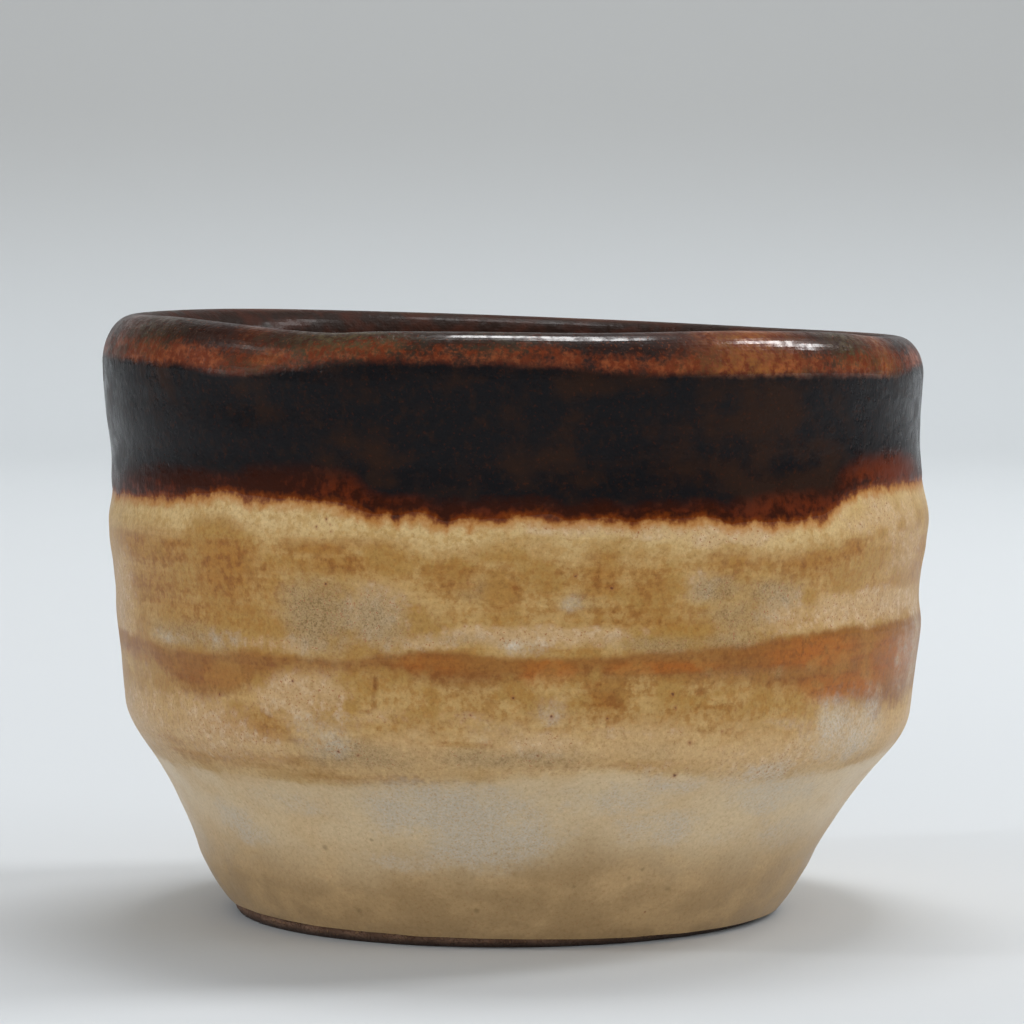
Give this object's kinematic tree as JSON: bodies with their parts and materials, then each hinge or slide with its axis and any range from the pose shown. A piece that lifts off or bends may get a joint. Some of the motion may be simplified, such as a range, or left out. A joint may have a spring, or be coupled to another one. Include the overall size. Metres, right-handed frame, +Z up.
{
  "type": "sake cup",
  "caption": "Small round wheel-thrown stoneware sake cup with a rounded lip, tapered base and bare foot ring, glazed in dark, straw and pale bands.",
  "frame": {"origin": "middle of the cup's outline seen from above, on the level face of the foot ring", "axes": "+Z up, out of the cup's mouth; +X towards the side where the rim is lowest, which is to the right in the picture; +Y away from the picture's camera"},
  "size_m": [0.0662, 0.066, 0.0478],
  "materials": {
    "bare_clay": "matte",
    "pale_glaze": "satin",
    "straw_glaze": "satin",
    "iron_stripe": "satin",
    "dark_glaze": "gloss",
    "lip_glaze": "gloss",
    "inner_glaze": "gloss"
  },
  "bodies": {
    "root": {"clay_body": "bare_clay", "pale_glaze": "pale_glaze", "straw_glaze": "straw_glaze", "iron_stripe": "iron_stripe", "dark_glaze": "dark_glaze", "lip_glaze": "lip_glaze", "inner_glaze": "inner_glaze"}
  },
  "joints": []
}
